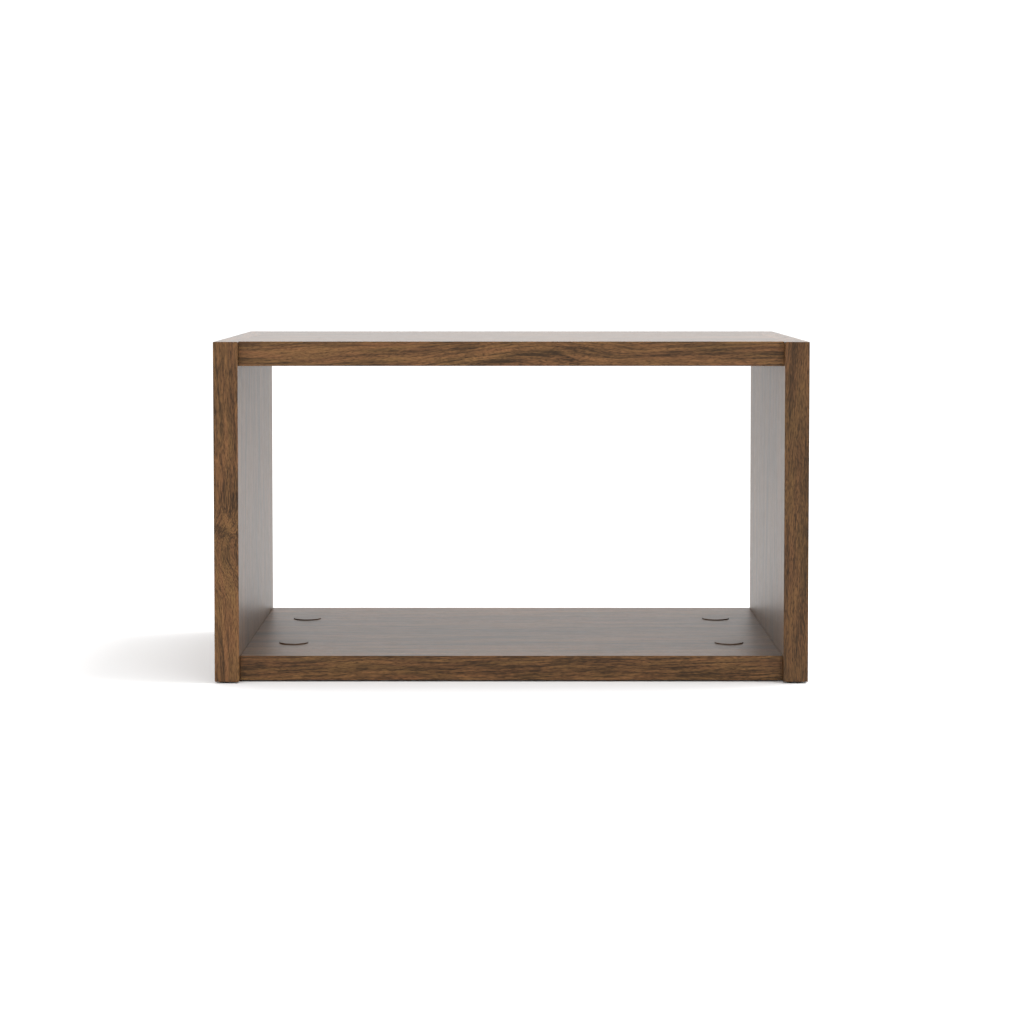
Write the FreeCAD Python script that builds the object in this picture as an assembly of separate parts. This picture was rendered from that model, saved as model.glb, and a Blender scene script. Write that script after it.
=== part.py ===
# An open, two-sided storage box in veneered board: two full-height side panels, with a top and a bottom
# panel held between them by eccentric cam locks, connecting bolts and dowels.
# Millimetres, +Z up, origin on the floor under the middle of the box. The front faces -Y.

import os

import FreeCAD
import Part

V = FreeCAD.Vector
X_AXIS = V(1, 0, 0)
Z_AXIS = V(0, 0, 1)

# --- Driving dimensions: the box ------------------------------------------------------------------

BOARD_T = 18.0              # finished thickness of every panel, veneers included
VENEER_T = 0.6              # face veneer
EDGING_T = 1.0              # walnut strip glued over the narrow edges
EASE_R = 0.6                # the arrises are broken by sanding
JOINT_GAP = 0.2             # hairline left between a panel's end and the side it meets

INNER_W = 400.0             # clear width between the sides
INNER_H = 214.0             # clear height between the bottom and the top
SIDE_D = 264.0              # depth of the side panels, front to back
SET_BACK = 8.0              # the top and bottom stand back this far from the sides' front edges
GLIDE_T = 1.2               # the glides carry the sides this far off the floor

# --- Driving dimensions: the fittings -------------------------------------------------------------

FITTING_ROWS = {"front": 64.0, "back": 192.0}   # behind the front edge of the top and bottom panels
DOWEL_ROWS = (32.0, 224.0)                      # dowels, behind the same edge
CAM_FROM_SIDE = 34.0        # cam centre to the inner face of the side panel
AXIS_DEPTH = BOARD_T / 2    # bolts and dowels lie in the middle of the board

CAM_BORE_R = 7.5            # blind hole for the cam, drilled in the panel's inside face
CAM_BORE_DEPTH = 13.5
CAM_R = 7.4
CAM_SUNK = 0.7              # the cam's face lies this far below the panel's face
CAM_FLOOR_GAP = 0.3         # between the cam and the bottom of its hole
CAM_HUB_R = 2.3             # solid post in the middle of the cam
CAM_WALL_T = 1.2            # rim that pulls on the back of the bolt's head
CAM_CHAMFER = 0.3
CHANNEL_PAST_END = 54.0     # degrees of channel past each end of the turn, for the width of the bolt's head
SLOT_PAST_END = 19.0        # the same for the slot, which only passes the bolt's neck
MOUTH_START = 2.8           # the hole that lets the head in starts this far from the cam's axis
CUT_PAST = 1.0              # a cutter goes this far past the surface that it opens
DRIVE_R = 2.0               # round middle of the screwdriver recess
DRIVE_DEPTH = 3.5
DRIVE_ARM = 3.2             # reach of each arm of the cross, and its width and depth
DRIVE_ARM_W = 1.1
DRIVE_ARM_DEPTH = 2.2
CAM_TURN = 180.0            # from locked to open, in degrees

BOLT_BORE_R = 4.0           # hole along the panel, from its end to the cam's hole
HEAD_R = 3.0
HEAD_START = 2.6            # inner face of the bolt's head, from the cam's axis
HEAD_LEN = 2.5
HEAD_CHAMFER = 0.6
HEAD_CLEAR = 0.15           # around the head, inside the cam
NECK_R = 1.6
NECK_LEN = 3.6
NECK_CONE_LEN = 1.0         # widens from the neck to the shank
SHANK_R = 3.0
COLLAR_R = 3.8
COLLAR_LEN = 2.4
THREAD_R = 2.5
THREAD_ROOT_R = 1.8
THREAD_PITCH = 1.6
THREAD_RISE = 0.7           # share of the pitch over which each ring rises, before it drops back
THREAD_TURNS = 6
TIP_LEN = 1.2

CAP_R = 11.0                # cover cap: a thin disc over the cam, with a stud in the cam's recess
CAP_PROUD = 0.8
CAP_EASE_R = 0.3
STUD_R = 1.9
STUD_LEN = 3.7
STUD_CHAMFER = 0.4

DOWEL_R = 4.0
DOWEL_LEN = 30.0
DOWEL_IN_SIDE = 11.0        # length of the dowel held in the side panel
DOWEL_SPARE = 0.8           # spare depth at each end of the dowel's hole
PUSH_FIT = 0.05             # radial room of dowels, threads and nails in their holes
DOWEL_CHAMFER = 0.8
FLUTES = 12
FLUTE_R = 0.35

GLIDE_R = 6.5
GLIDE_FROM_EDGE = 9.0       # glide centre to the side's front or back edge
GLIDE_EASE_R = 0.4
NAIL_R = 0.9
NAIL_LEN = 12.0
NAIL_TIP_R = 0.1
NAIL_POINT_LEN = 2 * NAIL_R

# --- Worked-out positions -------------------------------------------------------------------------

OUTER_W = INNER_W + 2 * BOARD_T
SIDE_H = INNER_H + 2 * BOARD_T
SIDE_BOTTOM = GLIDE_T
SIDE_TOP = SIDE_BOTTOM + SIDE_H
FRONT = -SIDE_D / 2
BACK = SIDE_D / 2
PANEL_FRONT = FRONT + SET_BACK
X_INNER = INNER_W / 2
X_OUTER = OUTER_W / 2
CAM_X = X_INNER - CAM_FROM_SIDE

# The face of each horizontal panel that looks into the box, and which way it looks.
INSIDE_FACE = {"bottom": (SIDE_BOTTOM + BOARD_T, 1), "top": (SIDE_TOP - BOARD_T, -1)}
SIDES = {"left": -1, "right": 1}
ROUNDING = 1e-4

# --- Helpers --------------------------------------------------------------------------------------


def box(low, high):
    """A block between its lowest and highest corners, given in any order."""
    a = V(*[min(p, q) for p, q in zip(low, high)])
    b = V(*[max(p, q) for p, q in zip(low, high)])
    size = b - a
    return Part.makeBox(size.x, size.y, size.z, a)


def near(a, b):
    """True if two lengths are the same, apart from rounding."""
    return abs(a - b) < ROUNDING


def eased(shape, radius, chosen):
    """Rounds every edge whose middle point is chosen."""
    return shape.makeFillet(radius, [e for e in shape.Edges if chosen(e.CenterOfMass)])


def ring_sector(inner_r, outer_r, low, high, start, sweep):
    """Part of a ring about Z, from start through sweep degrees."""
    outer = Part.makeCylinder(outer_r, high - low, V(0, 0, low), Z_AXIS, sweep)
    inner = Part.makeCylinder(inner_r, high - low, V(0, 0, low), Z_AXIS, sweep)
    sector = outer.cut(inner)
    sector.rotate(V(0, 0, 0), Z_AXIS, start)
    return sector


def save(shape, name):
    shape.exportStep("parts/%s.step" % name)


def corner_names():
    """Every fitting's place: panel, side and row."""
    return [(panel, side, row) for panel in INSIDE_FACE for side in SIDES for row in FITTING_ROWS]


def place_fitting(shape, panel, side, row):
    """Moves a fitting from its own frame to its place in the box.

    A fitting is drawn with the panel's inside face at Z = 0, looking along +Z, the cam's axis on Z, and the
    side panel towards +X.
    """
    face_z, looks = INSIDE_FACE[panel]
    placed = shape.copy()
    if looks < 0:
        placed.rotate(V(0, 0, 0), X_AXIS, 180)
    if SIDES[side] < 0:
        placed.rotate(V(0, 0, 0), Z_AXIS, 180)
    placed.translate(V(SIDES[side] * CAM_X, PANEL_FRONT + FITTING_ROWS[row], face_z))
    return placed


# --- Holes ----------------------------------------------------------------------------------------


def panel_holes(panel):
    """Everything drilled in a horizontal panel: cam holes, bolt holes and dowel holes."""
    face_z, looks = INSIDE_FACE[panel]
    axis_z = face_z - looks * AXIS_DEPTH
    holes = []
    for sign in SIDES.values():
        for row in FITTING_ROWS.values():
            mouth = V(sign * CAM_X, PANEL_FRONT + row, face_z)
            holes.append(Part.makeCylinder(CAM_BORE_R, CAM_BORE_DEPTH, mouth, Z_AXIS * -looks))
            middle = V(sign * CAM_X, PANEL_FRONT + row, axis_z)
            holes.append(Part.makeCylinder(BOLT_BORE_R, CAM_FROM_SIDE, middle, X_AXIS * sign))
        for row in DOWEL_ROWS:
            depth = DOWEL_LEN - DOWEL_IN_SIDE + DOWEL_SPARE
            start = V(sign * X_INNER, PANEL_FRONT + row, axis_z)
            holes.append(Part.makeCylinder(DOWEL_R + PUSH_FIT, depth, start, X_AXIS * -sign))
    return holes


def side_holes(side):
    """Everything drilled in a side panel: bolt and dowel holes in its inside face, nail holes below."""
    sign = SIDES[side]
    bolt_depth = THREAD_PITCH * THREAD_TURNS + TIP_LEN
    holes = []
    for face_z, looks in INSIDE_FACE.values():
        axis_z = face_z - looks * AXIS_DEPTH
        for row in FITTING_ROWS.values():
            start = V(sign * X_INNER, PANEL_FRONT + row, axis_z)
            holes.append(Part.makeCylinder(THREAD_R + PUSH_FIT, bolt_depth, start, X_AXIS * sign))
        for row in DOWEL_ROWS:
            start = V(sign * X_INNER, PANEL_FRONT + row, axis_z)
            depth = DOWEL_IN_SIDE + DOWEL_SPARE
            holes.append(Part.makeCylinder(DOWEL_R + PUSH_FIT, depth, start, X_AXIS * sign))
    for y in glide_rows().values():
        start = V(sign * (X_INNER + BOARD_T / 2), y, SIDE_BOTTOM)
        holes.append(Part.makeCylinder(NAIL_R + PUSH_FIT, NAIL_LEN, start, Z_AXIS))
    return holes


# --- Panels ---------------------------------------------------------------------------------------


def save_side_panel(side):
    """Fibreboard core, a veneer on each face, and edging on all four narrow edges."""
    sign = SIDES[side]
    inner, outer = sign * X_INNER, sign * X_OUTER
    core_inner, core_outer = inner + sign * VENEER_T, outer - sign * VENEER_T
    front, back = FRONT + EDGING_T, BACK - EDGING_T
    low, high = SIDE_BOTTOM + EDGING_T, SIDE_TOP - EDGING_T

    layers = {
        "core": box((core_inner, front, low), (core_outer, back, high)),
        "inner_veneer": box((inner, front, low), (core_inner, back, high)),
        "outer_veneer": box((core_outer, front, low), (outer, back, high)),
    }
    for name, near_y, far_y in (("front_edging", front, FRONT), ("back_edging", back, BACK)):
        strip = box((inner, near_y, SIDE_BOTTOM), (outer, far_y, SIDE_TOP))
        layers[name] = eased(strip, EASE_R, lambda p: not near(p.y, near_y))
    for name, near_z, far_z in (("top_edging", high, SIDE_TOP), ("bottom_edging", low, SIDE_BOTTOM)):
        strip = box((inner, front, near_z), (outer, back, far_z))
        layers[name] = eased(strip, EASE_R, lambda p: near(p.z, far_z) and near(p.y, 0))

    holes = side_holes(side)
    for name, layer in layers.items():
        save(layer.cut(holes), "%s_side_%s" % (side, name))


def save_flat_panel(panel):
    """A top or bottom panel: its ends are bare board, because they meet the sides."""
    face_z, looks = INSIDE_FACE[panel]
    out_z = face_z - looks * BOARD_T
    core_in, core_out = face_z - looks * VENEER_T, out_z + looks * VENEER_T
    end = X_INNER - JOINT_GAP
    front, back = PANEL_FRONT + EDGING_T, BACK - EDGING_T

    layers = {
        "core": box((-end, front, core_in), (end, back, core_out)),
        "inner_veneer": box((-end, front, face_z), (end, back, core_in)),
        "outer_veneer": box((-end, front, core_out), (end, back, out_z)),
    }
    for name, near_y, far_y in (("front_edging", front, PANEL_FRONT), ("back_edging", back, BACK)):
        strip = box((-end, near_y, face_z), (end, far_y, out_z))
        layers[name] = eased(strip, EASE_R, lambda p: near(p.y, far_y) and near(p.x, 0))

    holes = panel_holes(panel)
    for name, layer in layers.items():
        save(layer.cut(holes), "%s_panel_%s" % (panel, name))


# --- Fittings, each in the frame that place_fitting describes --------------------------------------


def cam_lock():
    """Eccentric cam: a drum with a curved channel for the bolt's head and a slot for its neck."""
    height = CAM_BORE_DEPTH - CAM_SUNK - CAM_FLOOR_GAP
    drum = Part.makeCylinder(CAM_R, height, V(0, 0, -CAM_SUNK - height), Z_AXIS)
    rims = [e for e in drum.Edges if near(abs(e.CenterOfMass.z + CAM_SUNK), 0)]
    drum = drum.makeChamfer(CAM_CHAMFER, rims)

    # The head swings about the cam's axis, so its corners decide how wide the channel is.
    half_head = HEAD_R + HEAD_CLEAR
    channel_r = CAM_R - CAM_WALL_T
    channel = ring_sector(
        CAM_HUB_R, channel_r, -AXIS_DEPTH - half_head, -AXIS_DEPTH + half_head,
        -CAM_TURN - CHANNEL_PAST_END, CAM_TURN + 2 * CHANNEL_PAST_END)
    half_neck = NECK_R + HEAD_CLEAR
    slot = ring_sector(
        CAM_HUB_R, CAM_R + CUT_PAST, -AXIS_DEPTH - half_neck, -AXIS_DEPTH + half_neck,
        -CAM_TURN - SLOT_PAST_END, CAM_TURN + 2 * SLOT_PAST_END)
    mouth = box(
        (-CAM_R - CUT_PAST, -half_head, -AXIS_DEPTH - half_head),
        (-MOUTH_START, half_head, -AXIS_DEPTH + half_head))
    drive = Part.makeCylinder(DRIVE_R, DRIVE_DEPTH, V(0, 0, -CAM_SUNK - DRIVE_DEPTH), Z_AXIS)
    half_w = DRIVE_ARM_W / 2
    arms = [
        box((-x, -y, -CAM_SUNK - DRIVE_ARM_DEPTH), (x, y, 0))
        for x, y in ((DRIVE_ARM, half_w), (half_w, DRIVE_ARM))]
    return drum.cut([channel, slot, mouth, drive] + arms)


def cam_bolt():
    """Connecting bolt: head and neck in the cam, shank and collar in the panel, thread in the side."""
    head_end = HEAD_START + HEAD_LEN
    neck_end = head_end + NECK_LEN
    collar_start = CAM_FROM_SIDE - COLLAR_LEN
    thread_end = CAM_FROM_SIDE + THREAD_PITCH * THREAD_TURNS

    profile = [
        (HEAD_START, 0), (HEAD_START, HEAD_R - HEAD_CHAMFER), (HEAD_START + HEAD_CHAMFER, HEAD_R),
        (head_end, HEAD_R), (head_end, NECK_R), (neck_end, NECK_R), (neck_end + NECK_CONE_LEN, SHANK_R),
        (collar_start, SHANK_R), (collar_start, COLLAR_R), (CAM_FROM_SIDE, COLLAR_R),
        (CAM_FROM_SIDE, THREAD_ROOT_R)]
    for turn in range(THREAD_TURNS):
        start = CAM_FROM_SIDE + turn * THREAD_PITCH
        profile.append((start + THREAD_PITCH * THREAD_RISE, THREAD_R))
        profile.append((start + THREAD_PITCH, THREAD_ROOT_R))
    profile.append((thread_end + TIP_LEN, 0))
    profile.append(profile[0])
    outline = Part.makePolygon([V(x, 0, r) for x, r in profile])
    bolt = Part.Face(outline).revolve(V(0, 0, 0), X_AXIS, 360)
    bolt.translate(V(0, 0, -AXIS_DEPTH))
    return bolt


def cover_cap():
    """Thin disc that hides the cam, with a stud for the cam's screwdriver recess."""
    disc = Part.makeCylinder(CAP_R, CAP_PROUD, V(0, 0, 0), Z_AXIS)
    disc = eased(disc, CAP_EASE_R, lambda p: near(p.z, CAP_PROUD))
    stud = Part.makeCylinder(STUD_R, STUD_LEN, V(0, 0, -STUD_LEN), Z_AXIS)
    tip = [e for e in stud.Edges if near(e.CenterOfMass.z, -STUD_LEN)]
    return disc.fuse(stud.makeChamfer(STUD_CHAMFER, tip))


def fluted_dowel():
    """Along X from the origin, with fine flutes that let the glue spread."""
    dowel = Part.makeCylinder(DOWEL_R, DOWEL_LEN, V(0, 0, 0), X_AXIS)
    ends = [e for e in dowel.Edges if near(e.CenterOfMass.x, 0) or near(e.CenterOfMass.x, DOWEL_LEN)]
    dowel = dowel.makeChamfer(DOWEL_CHAMFER, ends)
    flutes = []
    for number in range(FLUTES):
        flute = Part.makeCylinder(FLUTE_R, DOWEL_LEN, V(0, 0, DOWEL_R), X_AXIS)
        flute.rotate(V(0, 0, 0), X_AXIS, number * 360 / FLUTES)
        flutes.append(flute)
    return dowel.cut(flutes)


def save_fittings():
    """A cam, a bolt and a cap at each of the eight places."""
    shapes = {"cam_lock": cam_lock(), "cam_bolt": cam_bolt(), "cover_cap": cover_cap()}
    for kind, shape in shapes.items():
        for panel, side, row in corner_names():
            save(place_fitting(shape, panel, side, row), "%s_%s_%s_%s" % (kind, panel, side, row))


def save_dowels():
    """The two dowels of each corner joint share a node."""
    dowel = fluted_dowel()
    for panel, (face_z, looks) in INSIDE_FACE.items():
        for side, sign in SIDES.items():
            pair = []
            for row in DOWEL_ROWS:
                placed = dowel.copy()
                if sign < 0:
                    placed.rotate(V(0, 0, 0), Z_AXIS, 180)
                start = sign * (X_INNER + DOWEL_IN_SIDE - DOWEL_LEN)
                placed.translate(V(start, PANEL_FRONT + row, face_z - looks * AXIS_DEPTH))
                pair.append(placed)
            save(Part.makeCompound(pair), "dowels_%s_%s" % (panel, side))


# --- Glides ---------------------------------------------------------------------------------------


def glide_rows():
    """Where the front and back glides are, front to back."""
    return {"front": FRONT + GLIDE_FROM_EDGE, "back": BACK - GLIDE_FROM_EDGE}


def save_glides():
    """A round pad under each end of each side, and the nails that hold them."""
    nails = []
    for side, sign in SIDES.items():
        for row, y in glide_rows().items():
            centre = V(sign * (X_INNER + BOARD_T / 2), y, 0)
            pad = Part.makeCylinder(GLIDE_R, GLIDE_T, centre, Z_AXIS)
            save(eased(pad, GLIDE_EASE_R, lambda p: near(p.z, 0)), "glide_%s_%s" % (side, row))
            shank_len = NAIL_LEN - NAIL_POINT_LEN
            shank = Part.makeCylinder(NAIL_R, shank_len, centre + V(0, 0, GLIDE_T), Z_AXIS)
            point_start = centre + V(0, 0, GLIDE_T + shank_len)
            point = Part.makeCone(NAIL_R, NAIL_TIP_R, NAIL_POINT_LEN, point_start, Z_AXIS)
            nails.append(shank.fuse(point).removeSplitter())
    save(Part.makeCompound(nails), "glide_nails")


# --- Everything -----------------------------------------------------------------------------------

os.makedirs("parts", exist_ok=True)
for side_name in SIDES:
    save_side_panel(side_name)
for panel_name in INSIDE_FACE:
    save_flat_panel(panel_name)
save_fittings()
save_dowels()
save_glides()
print("outer width, side depth and height: %g x %g x %g" % (OUTER_W, SIDE_D, SIDE_TOP))
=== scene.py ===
# %% [markdown]
# # An open storage box in walnut veneer
#
# The real object is knock-down furniture: four veneered boards, pulled together at the corners by cam
# locks. Its shape is plain, so what makes it look real is the wood. Every panel gets its own piece of
# walnut, with growth bands, fibres and pores, under one satin lacquer.
#
# The shapes come ready-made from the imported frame. They stay as they are, and this lesson gives each one a
# finish, sets them in a white studio, and looks at them from the front.

# %% Load the frame
import math

import bpy
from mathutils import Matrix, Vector


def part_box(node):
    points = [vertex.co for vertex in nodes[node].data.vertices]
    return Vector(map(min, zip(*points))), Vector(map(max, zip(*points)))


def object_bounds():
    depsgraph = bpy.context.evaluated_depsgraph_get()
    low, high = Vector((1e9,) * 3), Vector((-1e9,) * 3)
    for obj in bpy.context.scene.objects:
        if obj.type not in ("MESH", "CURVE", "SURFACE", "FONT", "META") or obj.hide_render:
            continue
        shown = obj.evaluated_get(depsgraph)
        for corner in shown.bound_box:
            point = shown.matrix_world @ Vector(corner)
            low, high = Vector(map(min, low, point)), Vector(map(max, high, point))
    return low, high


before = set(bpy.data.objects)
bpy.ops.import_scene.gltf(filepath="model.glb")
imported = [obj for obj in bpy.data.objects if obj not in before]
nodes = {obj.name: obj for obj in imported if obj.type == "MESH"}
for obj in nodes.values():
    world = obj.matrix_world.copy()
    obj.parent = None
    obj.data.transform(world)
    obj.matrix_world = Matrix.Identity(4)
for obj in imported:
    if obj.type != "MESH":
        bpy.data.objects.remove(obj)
cad_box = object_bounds()
scene = bpy.context.scene

# %% [markdown]
# The camera and the printed checks need a few sizes, which are read from the frame. Lengths are in metres.
# Patterns in wood are easier to think of in millimetres, so MM turns one to the other.

# %% Measure the box
MM = 0.001
low, high = Vector(cad_box[0]), Vector(cad_box[1])
box_size = high - low
front_y = low.y
board_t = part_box("left_side_front_edging")[1].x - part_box("left_side_front_edging")[0].x
print("the box is", [round(v / MM, 1) for v in box_size], "mm, in boards", round(board_t / MM, 1), "mm thick")

# %% [markdown]
# The camera stands well back with a long lens, which keeps the box nearly free of perspective. The lens is
# shifted a little, so that upright edges stay nearly upright, and a small tilt does the rest of the framing.

# %% Set up the camera
CAMERA_BACK = 1.8283         # from the lens to the box's front edges
CAMERA_HEIGHT = 0.3124       # a little above the top panel, so its surface just shows
CAMERA_RIGHT = 0.0005
LENS_MM = 88.1
LENS_SHIFT = -0.128
TILT_DEG = 2.81

camera = bpy.data.objects.new("camera", bpy.data.cameras.new("camera"))
camera.data.sensor_width = 36
camera.data.lens = LENS_MM
camera.data.shift_y = LENS_SHIFT
camera.location = (CAMERA_RIGHT, front_y - CAMERA_BACK, CAMERA_HEIGHT)
camera.rotation_euler = (math.radians(90 - TILT_DEG), 0, 0)
scene.collection.objects.link(camera)
scene.camera = camera
print("the camera is", CAMERA_BACK, "m from the box, with a", LENS_MM, "mm lens")

# %% [markdown]
# Two small helpers carry every material in the lesson. The first turns a colour picked as sRGB hex, the way
# paint charts give it, into the linear values that Blender computes with. The second adds one shader node,
# with its settings, and fills or links its inputs.

# %% Colour and node helpers
def linear(hex_code):
    """An sRGB colour such as #7A5638 as linear red, green, blue and alpha."""
    channels = [int(hex_code[i:i + 2], 16) / 255 for i in (1, 3, 5)]
    return [c / 12.92 if c <= 0.04045 else ((c + 0.055) / 1.055) ** 2.4 for c in channels] + [1.0]


def add(tree, kind, inputs=None, **settings):
    """One shader node: settings are its properties, and inputs are values or sockets to link."""
    made = tree.nodes.new("ShaderNode" + kind)
    for name, value in settings.items():
        setattr(made, name, value)
    for name, value in (inputs or {}).items():
        if isinstance(value, bpy.types.NodeSocket):
            tree.links.new(value, made.inputs[name])
        else:
            made.inputs[name].default_value = value
    return made


def new_material(name):
    """An empty node material and its tree, with the surface output and its shader in place."""
    material = bpy.data.materials.new(name)
    material.use_nodes = True
    tree = material.node_tree
    tree.nodes.clear()
    shader = add(tree, "BsdfPrincipled")
    add(tree, "OutputMaterial", {"Surface": shader.outputs["BSDF"]})
    return material, tree, shader


print("mid brown in linear light:", [round(c, 3) for c in linear("#7A5638")])

# %% [markdown]
# The studio is a white cove: a pale matt floor and a white surround. Its two ends, behind the box and
# behind the camera, are lit more than its sides. The far end is what the lacquer mirrors at a low angle, so
# it turns the top and the inner faces from brown to a soft grey. The near end fills the front edges.

# %% Floor and surround
SURROUND_SIDES = 1.0
SURROUND_ENDS = 1.5
SURROUND_ABOVE = 1.25
END_FROM, END_FULL = 0.3, 0.98       # it brightens between these, from 0 at the sides to 1 at an end
ABOVE_FROM, ABOVE_FULL = 0.1, 0.8    # and between these, from 0 at the horizon to 1 overhead
FLOOR_HALF = 60.0

floor_mesh = bpy.data.meshes.new("floor")
corners = [(x * FLOOR_HALF, y * FLOOR_HALF, 0) for x, y in ((-1, -1), (1, -1), (1, 1), (-1, 1))]
floor_mesh.from_pydata(corners, [], [(0, 1, 2, 3)])
floor = bpy.data.objects.new("floor", floor_mesh)
scene.collection.objects.link(floor)

floor_paint, tree, shader = new_material("matt_white_floor_paint")
shader.inputs["Base Color"].default_value = linear("#F8F8F8")
shader.inputs["Roughness"].default_value = 1.0
shader.inputs["Specular IOR Level"].default_value = 0.0
floor_mesh.materials.append(floor_paint)

world = bpy.data.worlds.new("white_surround")
scene.world = world
world.use_nodes = True
tree = world.node_tree
tree.nodes.clear()
direction = add(tree, "TexCoord")
parts = add(tree, "SeparateXYZ", {0: direction.outputs["Generated"]})
endwise = add(tree, "Math", {0: parts.outputs["Y"]}, operation="ABSOLUTE")
level = add(tree, "MapRange", {
    "Value": endwise.outputs[0], "From Min": END_FROM, "From Max": END_FULL,
    "To Min": SURROUND_SIDES, "To Max": SURROUND_ENDS}, interpolation_type="SMOOTHSTEP")
upward = add(tree, "MapRange", {
    "Value": parts.outputs["Z"], "From Min": ABOVE_FROM, "From Max": ABOVE_FULL})
glow = add(tree, "Mix", {0: upward.outputs["Result"], 2: level.outputs["Result"], 3: SURROUND_ABOVE})
light = add(tree, "Background", {"Color": (1, 1, 1, 1), "Strength": glow.outputs[0]})
add(tree, "OutputWorld", {"Surface": light.outputs["Background"]})
print("the surround is", SURROUND_SIDES, "at the sides,", SURROUND_ENDS, "at the ends and",
      SURROUND_ABOVE, "above")

# %% [markdown]
# One large soft box, high up on the right, gives the box a faint, wide shadow on the floor to the left. It
# is more than half as broad as it is far away, so the shadow has no edge.

# %% Key light
KEY_PLACE = Vector((1.25, 0.1, 2.2))
KEY_SIDE = 1.45
KEY_WATTS = 36.0
KEY_AIM = Vector((0, 0, 0.1))

soft_box = bpy.data.lights.new("soft_box", "AREA")
soft_box.shape = "SQUARE"
soft_box.size = KEY_SIDE
soft_box.energy = KEY_WATTS
key = bpy.data.objects.new("soft_box", soft_box)
key.location = KEY_PLACE
key.rotation_euler = (KEY_AIM - KEY_PLACE).to_track_quat("-Z", "Y").to_euler()
scene.collection.objects.link(key)
scene.view_settings.view_transform = "Standard"
print("the soft box is", round(KEY_PLACE.length, 2), "m away and", KEY_SIDE, "m wide")

# %% [markdown]
# ## Walnut
#
# Black walnut is sold as sheets 0.6 mm thick, sliced from a log. A slice cuts through the growth rings, so
# its figure is a set of bands about the heart of the log. It's easier to make the log than the slice: the
# pattern is solid, and each face just cuts it.
#
# The first step measures a point in millimetres, with Z along the grain, and bends everything gently,
# because no tree grows straight. The second leans that over the log and counts from the log's heart.

# %% Lay the log over the board
TURN_TO_Z = {"X": (0, -math.pi / 2, 0), "Y": (math.pi / 2, 0, 0), "Z": (0, 0, 0)}
BEND_WIDTH_MM = 34.0
BEND_LENGTH_MM = 120.0
BEND_BY_MM = 9.0


def along_grain(tree, grain):
    """The point in millimetres, turned so that Z runs along the grain, and gently bent."""
    place = add(tree, "TexCoord")
    turned = add(tree, "Mapping", {
        "Vector": place.outputs["Object"], "Scale": [1 / MM] * 3, "Rotation": TURN_TO_Z[grain]})
    coarse = add(tree, "VectorMath", {
        0: turned.outputs[0], 1: (1 / BEND_WIDTH_MM, 1 / BEND_WIDTH_MM, 1 / BEND_LENGTH_MM)},
        operation="MULTIPLY")
    noise = add(tree, "TexNoise", {
        "Vector": coarse.outputs[0], "Scale": 1.0, "Detail": 3.0, "Roughness": 0.45})
    centred = add(tree, "VectorMath", {0: noise.outputs["Color"], 1: (0.5, 0.5, 0.5)}, operation="SUBTRACT")
    bent = add(tree, "VectorMath", {
        0: centred.outputs[0], 1: (BEND_BY_MM, BEND_BY_MM, 0), 2: turned.outputs[0]},
        operation="MULTIPLY_ADD")
    return bent.outputs[0]


def from_heart(tree, board, heart_mm, lean_deg):
    """The same point measured from the log's heart, with the board leaning in the log."""
    lean = [math.radians(angle) for angle in (lean_deg[0], lean_deg[1], 0)]
    return add(tree, "Mapping", {"Vector": board, "Rotation": lean, "Location": heart_mm}).outputs[0]


print("the log bends by up to", BEND_BY_MM / 2, "mm over", BEND_LENGTH_MM, "mm")

# %% [markdown]
# A tree is built round its heart, so the natural coordinates of wood are a cylinder's: how far out from the
# heart, how far round, and how far up. Every later pattern is drawn in those, so bands, fibres and pores
# all follow each other round a bend.
#
# Two things disturb them. A branch pushes the rings aside, which shows as a swirl with the bands crowding
# round it. Minerals stain the wood in flames, long dark patches that run roughly along the grain. Both are
# egg shapes, placed one by one. A Mapping node of type Texture turns a point into the egg's own coordinates,
# where the egg's surface is 1 away from its centre.

# %% Swirls, flames and the tree's own coordinates
ARC_RADIUS_MM = 150.0        # turns an angle round the heart into millimetres, at a usual distance
SWIRL_SOFTNESS = 0.95


def egg(tree, board, centre_mm, reach_mm, lean_deg, softness):
    """1 inside an egg and 0 outside it. It leans about Y, and softness is how wide its edge is."""
    local = add(tree, "Mapping", {
        "Vector": board, "Location": centre_mm, "Rotation": (0, math.radians(lean_deg), 0),
        "Scale": reach_mm}, vector_type="TEXTURE")
    away = add(tree, "VectorMath", {0: local.outputs[0]}, operation="LENGTH")
    inside = add(tree, "MapRange", {
        "Value": away.outputs["Value"], "From Min": 1 + softness, "From Max": 1 - softness},
        interpolation_type="SMOOTHSTEP")
    return inside.outputs["Result"]


def tree_space(tree, board, log, swirl=None):
    """Millimetres out from the heart, round it, and up. A swirl is an egg and how far it pushes the rings."""
    across = add(tree, "VectorMath", {0: log, 1: (1, 1, 0)}, operation="MULTIPLY")
    out = add(tree, "VectorMath", {0: across.outputs[0]}, operation="LENGTH").outputs["Value"]
    if swirl:
        centre_mm, reach_mm, lean_deg, push_mm = swirl
        knot = egg(tree, board, centre_mm, reach_mm, lean_deg, SWIRL_SOFTNESS)
        out = add(tree, "Math", {0: knot, 1: push_mm, 2: out}, operation="MULTIPLY_ADD").outputs[0]
    parts = add(tree, "SeparateXYZ", {0: log})
    angle = add(tree, "Math", {0: parts.outputs["Y"], 1: parts.outputs["X"]}, operation="ARCTAN2")
    round_it = add(tree, "Math", {0: angle.outputs[0], 1: ARC_RADIUS_MM}, operation="MULTIPLY")
    return add(tree, "CombineXYZ", {0: out, 1: round_it.outputs[0], 2: parts.outputs["Z"]}).outputs[0]


print("angles are turned to millimetres", ARC_RADIUS_MM, "mm from the heart")

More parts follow.
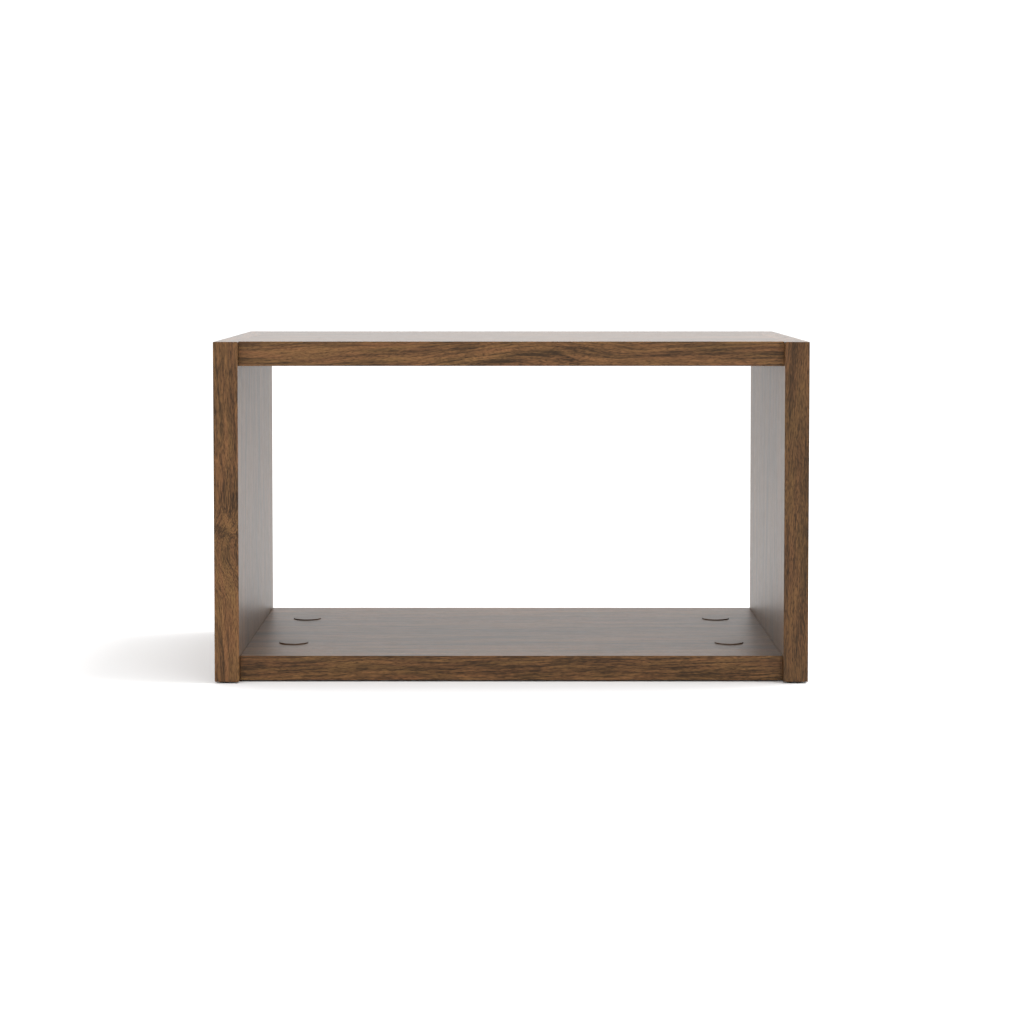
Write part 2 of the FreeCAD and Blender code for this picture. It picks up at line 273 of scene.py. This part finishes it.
# %% [markdown]
# Close up, walnut is a bundle of fibres with open pores among them. The pores are slits about 0.2 mm wide
# and a few millimetres long. At arm's length they blur into short dark dashes, so they are drawn 0.5 mm
# wide here. Bands, lines, clouds, mottle, fibres and pores are all the same noise, stretched up the trunk:
# only the sizes and the sharpness differ, so one function draws them all.

# %% Streaks of any size
BAND_MM = (5.5, 70.0, 320.0)     # out from the heart, round it, and up the trunk
LINE_MM = (1.2, 12.0, 60.0)      # fine lines within a band
CLOUD_MM = (13.0, 16.0, 60.0)
MOTTLE_MM = (3.0, 4.0, 9.0)
FIBRE_MM = (0.58, 0.8, 9.5)
PORE_MM = (0.5, 0.55, 3.2)
CAST_MM = (9.0, 12.0, 45.0)      # patches of russet and olive


def streaks(tree, space, size_mm, sharp_from, sharp_to, detail=2.0, shift=0.0):
    """0 to 1: streaks of a size in millimetres. A narrow gap from sharp_from to sharp_to makes them crisp."""
    stretched = add(tree, "VectorMath", {
        0: space, 1: [1 / size for size in size_mm], 2: (shift, shift, shift)}, operation="MULTIPLY_ADD")
    noise = add(tree, "TexNoise", {
        "Vector": stretched.outputs[0], "Scale": 1.0, "Detail": detail, "Roughness": 0.6})
    return add(tree, "MapRange", {
        "Value": noise.outputs["Fac"], "From Min": sharp_from, "From Max": sharp_to}).outputs["Result"]


print("fibres are drawn", FIBRE_MM, "mm and pores", PORE_MM, "mm")

# %% [markdown]
# Now the finish. Walnut's heartwood runs from a dark umber to a light fawn, with a cast that wanders
# between russet and olive. Bands, lines, clouds, mottle and fibres each have a say in where a point lies
# between dark and light, and pores darken it once more. A wide face shows the bands most. A narrow edge
# shows the fibres.
#
# A satin lacquer, sprayed and flatted, lies over everything. It has lacquer's IOR of 1.5, and the flatting
# makes it rough enough to blur a reflection into a sheen, which shows strongly only at a low angle. The
# specular tint is a choice of look, not of physics: it takes the haze off faces seen straight on, below
# what an IOR of 1.5 gives, and leaves the sheen at a low angle as it was.

# %% Lacquered walnut
DARK_WALNUT = "#342518"
RUSSET_WALNUT = "#7D5637"
OLIVE_WALNUT = "#7A5936"
PORE_BROWN = "#1E140B"
PORE_DEPTH = 0.6             # how far a pore takes the wood's colour to its own
PORE_DROP = -0.8             # how far it sinks, against 1 for the height of a fibre
LACQUER_IOR = 1.5
LACQUER_ROUGHNESS = 0.40
LACQUER_TINT = "#A29A92"     # dims the mirror straight on, and leaves it at a low angle
GLOSS_SPREAD = 0.02
RELIEF_MM = 0.05
RELIEF_STRENGTH = 0.12
FACE_FIGURE = {"bands": 0.42, "lines": 0.14, "clouds": 0.30, "mottle": 0.08, "fibres": 0.14}
EDGE_FIGURE = {"bands": 0.18, "lines": 0.50, "clouds": 0.18, "mottle": 0.08, "fibres": 0.62}


def lacquered_walnut(name, grain, heart_mm, lean_deg=(0, 0), swirl=None, flames=(), tone=0.0,
                     weights=FACE_FIGURE, roughness=LACQUER_ROUGHNESS):
    """Sliced walnut under satin lacquer. Grain names the axis that it runs along, and tone lightens it."""
    material, tree, shader = new_material(name)
    board = along_grain(tree, grain)
    space = tree_space(tree, board, from_heart(tree, board, heart_mm, lean_deg), swirl)
    figure = {
        "bands": streaks(tree, space, BAND_MM, 0.36, 0.64, 2.0),
        "lines": streaks(tree, space, LINE_MM, 0.36, 0.64, 2.0, 7.0),
        "clouds": streaks(tree, space, CLOUD_MM, 0.36, 0.64, 1.0, 13.0),
        "mottle": streaks(tree, space, MOTTLE_MM, 0.34, 0.66, 1.0, 23.0),
        "fibres": streaks(tree, space, FIBRE_MM, 0.40, 0.60, 1.0, 31.0),
    }
    cast = streaks(tree, space, CAST_MM, 0.34, 0.66, 1.0, 53.0)
    pores = streaks(tree, space, PORE_MM, 0.56, 0.64, 0.0, 43.0)

    shade = 0.5 + tone - sum(weights.values()) / 2
    for pattern, weight in weights.items():
        more = add(tree, "Math", {0: figure[pattern], 1: weight, 2: shade}, operation="MULTIPLY_ADD")
        shade = more.outputs[0]
    for centre_mm, reach_mm, turn_deg, softness, darker in flames:
        flame = egg(tree, board, centre_mm, reach_mm, turn_deg, softness)
        more = add(tree, "Math", {0: flame, 1: -darker, 2: shade}, operation="MULTIPLY_ADD")
        shade = more.outputs[0]
    light = add(tree, "Mix", {0: cast, 6: linear(RUSSET_WALNUT), 7: linear(OLIVE_WALNUT)},
                data_type="RGBA")
    wood = add(tree, "Mix", {0: shade, 6: linear(DARK_WALNUT), 7: light.outputs[2]}, data_type="RGBA")
    pore_depth = add(tree, "Math", {0: pores, 1: PORE_DEPTH}, operation="MULTIPLY")
    colour = add(tree, "Mix", {0: pore_depth.outputs[0], 6: wood.outputs[2], 7: linear(PORE_BROWN)},
                 data_type="RGBA")
    tree.links.new(colour.outputs[2], shader.inputs["Base Color"])

    rough = add(tree, "MapRange", {
        "Value": figure["mottle"], "To Min": roughness - GLOSS_SPREAD, "To Max": roughness + GLOSS_SPREAD})
    tree.links.new(rough.outputs[0], shader.inputs["Roughness"])
    shader.inputs["IOR"].default_value = LACQUER_IOR
    shader.inputs["Specular Tint"].default_value = linear(LACQUER_TINT)

    relief = add(tree, "Math", {0: pores, 1: PORE_DROP, 2: figure["fibres"]}, operation="MULTIPLY_ADD")
    bump = add(tree, "Bump", {
        "Height": relief.outputs[0], "Strength": RELIEF_STRENGTH, "Distance": RELIEF_MM * MM})
    tree.links.new(bump.outputs["Normal"], shader.inputs["Normal"])
    return material


def dress(material, *names):
    """Gives a finish to CAD nodes, in every material slot they have."""
    for name in names:
        target = nodes[name]
        if not target.material_slots:
            target.data.materials.append(material)
        for slot in target.material_slots:
            slot.material = material


print("walnut runs from", DARK_WALNUT, "to", RUSSET_WALNUT, "or", OLIVE_WALNUT)

# %% [markdown]
# Each panel is cut from its own part of the log. The heart's distance decides the figure: a close one gives
# arches, and a far one gives straight bands. The left side's front edge has the strongest feature, a swirl
# a little below the middle with dark flames over it, paler straight grain below, and a dark wedge in the
# bottom corner. A flame with a negative last number is a pale one.
#
# The sides' top and bottom edges share the top panel's tone and lacquer. The top is drawn darker and
# glossier than the rest, so that its sheen comes out pale and neutral. Whether a real box's top is lacquered
# differently isn't known. A fuller coat, which flows out smoother, would have that effect.

# %% Walnut for the side panels
TOP_ROUGHNESS = 0.33
TOP_TONE = -0.16
LEFT_SWIRL = ((-209, -132, 97), (11, 60, 20), 0, 10)
LEFT_FLAMES = (
    ((-204, -132, 129), (3.2, 60, 14), 5, 0.4, 0.32),
    ((-213, -132, 112), (9.0, 60, 4.5), 20, 0.4, 0.34),
    ((-226, -132, -10), (16, 60, 72), 0, 0.05, 0.30),
    ((-207, -132, 26), (16, 60, 52), 0, 0.5, -0.30),
    ((-208, -132, 119), (2.0, 60, 10), -25, 0.5, -0.22),
    ((-213, -132, 157), (4.0, 60, 11), 0, 0.5, -0.18),
)
left_front = lacquered_walnut(
    "walnut_left_side_front", "Z", (238, 160, -110), lean_deg=(0, 2.0), swirl=LEFT_SWIRL, flames=LEFT_FLAMES,
    weights=EDGE_FIGURE)
right_front = lacquered_walnut(
    "walnut_right_side_front", "Z", (-150, 175, 40), lean_deg=(0, -1.2), tone=-0.19,
    weights={"bands": 0.26, "lines": 0.24, "clouds": 0.16, "mottle": 0.06, "fibres": 0.36})
for side, front, x_mm in (("left", left_front, 206), ("right", right_front, -206)):
    dress(front, side + "_side_front_edging")
    dress(lacquered_walnut("walnut_%s_side_back" % side, "Z", (x_mm + 70, -60, 300), lean_deg=(0, 1.5),
                           weights=EDGE_FIGURE), side + "_side_back_edging")
    dress(lacquered_walnut("walnut_%s_side_ends" % side, "Y", (x_mm + 60, 90, 500), lean_deg=(0.6, 1),
                           tone=TOP_TONE, weights=EDGE_FIGURE, roughness=TOP_ROUGHNESS),
          side + "_side_top_edging", side + "_side_bottom_edging")
    dress(lacquered_walnut("walnut_%s_side_inside" % side, "Z", (x_mm + 64, 35, 700), lean_deg=(1.5, 2)),
          side + "_side_inner_veneer")
    dress(lacquered_walnut("walnut_%s_side_outside" % side, "Z", (x_mm + 60, -20, 900), lean_deg=(-1, -2)),
          side + "_side_outer_veneer")
print("the side panels are dressed")

# %% [markdown]
# The top and bottom have their grain running along X. Turning it to Z makes the first of the three numbers
# in a flame's place the height, counted downwards, and the third one the place along the panel.

# %% Walnut for the top and bottom panels
SHELF_ROUGHNESS = 0.42       # a little duller than the sides, to hold down the sheen on level inner faces
TOP_SWIRL = ((-240, -124, 2), (12, 60, 60), -12, 7)
TOP_FLAMES = (
    ((-246, -124, -31), (3.6, 60, 11), -10, 0.5, 0.26),
    ((-240.5, -124, 14), (3.0, 60, 34), -9, 0.5, 0.24),
    ((-243, -124, -12), (1.6, 60, 24), -14, 0.5, -0.22),
    ((-243, -124, -150), (5.5, 60, 60), 0, 0.6, -0.18),
)
panel_fronts = (
    ("top", 280, 60, TOP_SWIRL, TOP_FLAMES, {
        "bands": 0.24, "lines": 0.64, "clouds": 0.04, "mottle": 0.0, "fibres": 0.42}),
    ("bottom", 50, 1360, None, (), {
        "bands": 0.26, "lines": 0.72, "clouds": 0.06, "mottle": 0.06, "fibres": 0.58}),
)
for panel, z_mm, along_mm, swirl, flames, weights in panel_fronts:
    dress(lacquered_walnut("walnut_%s_front" % panel, "X", (z_mm, 165, along_mm), lean_deg=(0, 1.6),
                           swirl=swirl, flames=flames, weights=weights),
          panel + "_panel_front_edging")
    dress(lacquered_walnut("walnut_%s_back" % panel, "X", (z_mm + 30, -90, 200 + along_mm), lean_deg=(0, -1),
                           weights=EDGE_FIGURE), panel + "_panel_back_edging")
    dress(lacquered_walnut("walnut_%s_inside" % panel, "X", (z_mm + 50, 10, 400 + along_mm), lean_deg=(1, 2),
                           roughness=SHELF_ROUGHNESS), panel + "_panel_inner_veneer")
dress(lacquered_walnut("walnut_top_outside", "X", (320, -25, 860), lean_deg=(-1, 2), tone=TOP_TONE,
                       roughness=TOP_ROUGHNESS), "top_panel_outer_veneer")
dress(lacquered_walnut("walnut_bottom_outside", "X", (90, -25, 2160), lean_deg=(-1, 2)),
      "bottom_panel_outer_veneer")
print("the top and bottom panels are dressed")

# %% [markdown]
# ## Boards, pegs and fittings
#
# The rest is factory stock, and most of it hides inside the boards until a cap comes off. Each stock has
# one grain that changes its colour, its gloss and its surface together, so one function makes them all.
# What differs is the size and direction of that grain, and whether the stock is a metal.

# %% One function for factory stock
STOCK_RELIEF_STRENGTH = 0.5


def factory_stock(name, dark, light, grain_mm, roughness, spread, relief_mm, ior=None):
    """Stock with one grain, whose pale parts are the smoother ones. With no IOR it is a metal."""
    material, tree, shader = new_material(name)
    place = add(tree, "TexCoord")
    spot = add(tree, "VectorMath", {0: place.outputs["Object"], "Scale": 1 / MM}, operation="SCALE")
    grain = streaks(tree, spot.outputs[0], grain_mm, 0.35, 0.65, 3.0)
    colour = add(tree, "Mix", {0: grain, 6: linear(dark), 7: linear(light)}, data_type="RGBA")
    tree.links.new(colour.outputs[2], shader.inputs["Base Color"])
    rough = add(tree, "MapRange", {
        "Value": grain, "To Min": roughness + spread, "To Max": roughness - spread})
    tree.links.new(rough.outputs[0], shader.inputs["Roughness"])
    bump = add(tree, "Bump", {
        "Height": grain, "Strength": STOCK_RELIEF_STRENGTH, "Distance": relief_mm * MM})
    tree.links.new(bump.outputs["Normal"], shader.inputs["Normal"])
    if ior:
        shader.inputs["IOR"].default_value = ior
    else:
        shader.inputs["Metallic"].default_value = 1.0
    return material


def named(start):
    """The CAD nodes whose names begin in one way."""
    return [name for name in nodes if name.startswith(start)]


print("the box holds", len(named("cam_")), "metal fittings")

# %% [markdown]
# Medium-density fibreboard is wood cooked to fluff and pressed with glue. Bare, as in the drilled holes, it
# is an even pale brown felt. Its fibres are 0.05 mm thick, too fine to show, so the felt is drawn 0.9 mm
# coarse.

# %% Fibreboard cores
fibreboard = factory_stock(
    "pressed_fibreboard", "#92744F", "#BFA077", (0.9, 0.9, 0.9), 0.85, 0.05, 0.06, ior=1.47)
dress(fibreboard, *[name for name in nodes if name.endswith("_core")])
print("the cores are", fibreboard.name)

# %% [markdown]
# Beech dowels are turned from rod, with flutes pressed in. Beech is pale pink-brown and shows short darker
# flecks, its rays, about 2 mm long. They run along X here, as the dowels do.

# %% Beech dowels
beech = factory_stock("turned_beech", "#B08659", "#D3AE80", (2.4, 0.5, 0.5), 0.7, 0.06, 0.04, ior=1.47)
dress(beech, *named("dowels_"))
print("the dowels are", beech.name)

# %% [markdown]
# The cam is die-cast zinc. The mould gives it a dull grey skin with faint clouds a millimetre or two
# across. The bolt is turned steel with a bright zinc plating. Turning leaves rings about 0.1 mm apart round
# its axis, drawn 0.5 mm apart so that they show. The glide's nail is drawn wire, so its marks run along it,
# upright.

# %% Cams, bolts and nails
cast_zinc = factory_stock("die_cast_zinc", "#8E9093", "#B2B4B6", (1.3, 1.3, 1.3), 0.42, 0.07, 0.03)
dress(cast_zinc, *named("cam_lock_"))
plated_steel = factory_stock("zinc_plated_steel", "#A9ABA8", "#CDCFD1", (0.5, 6.0, 6.0), 0.28, 0.05, 0.01)
dress(plated_steel, *named("cam_bolt_"))
drawn_wire = factory_stock("drawn_steel_wire", "#A3A3A1", "#C4C4C2", (0.4, 0.4, 8.0), 0.3, 0.05, 0.01)
dress(drawn_wire, "glide_nails")
print("the metals are", cast_zinc.name, "and", plated_steel.name, "and", drawn_wire.name)

# %% [markdown]
# The cover caps are moulded in ABS coloured to match the walnut. Spark erosion gives the mould, and so the
# cap, an even fine grain of about 0.1 mm, drawn 0.8 mm coarse. The glides are black polyethylene, softer
# and waxier. Their mould is grained as well.

# %% Caps and glides
cap_plastic = factory_stock(
    "walnut_brown_abs", "#4A3422", "#5C432D", (0.8, 0.8, 0.8), 0.46, 0.03, 0.01, ior=1.53)
dress(cap_plastic, *named("cover_cap_"))
glide_plastic = factory_stock(
    "black_polyethylene", "#151312", "#262221", (0.8, 0.8, 0.8), 0.5, 0.05, 0.02, ior=1.51)
dress(glide_plastic, *[name for name in named("glide_") if name != "glide_nails"])
print("the plastics are", cap_plastic.name, "and", glide_plastic.name)
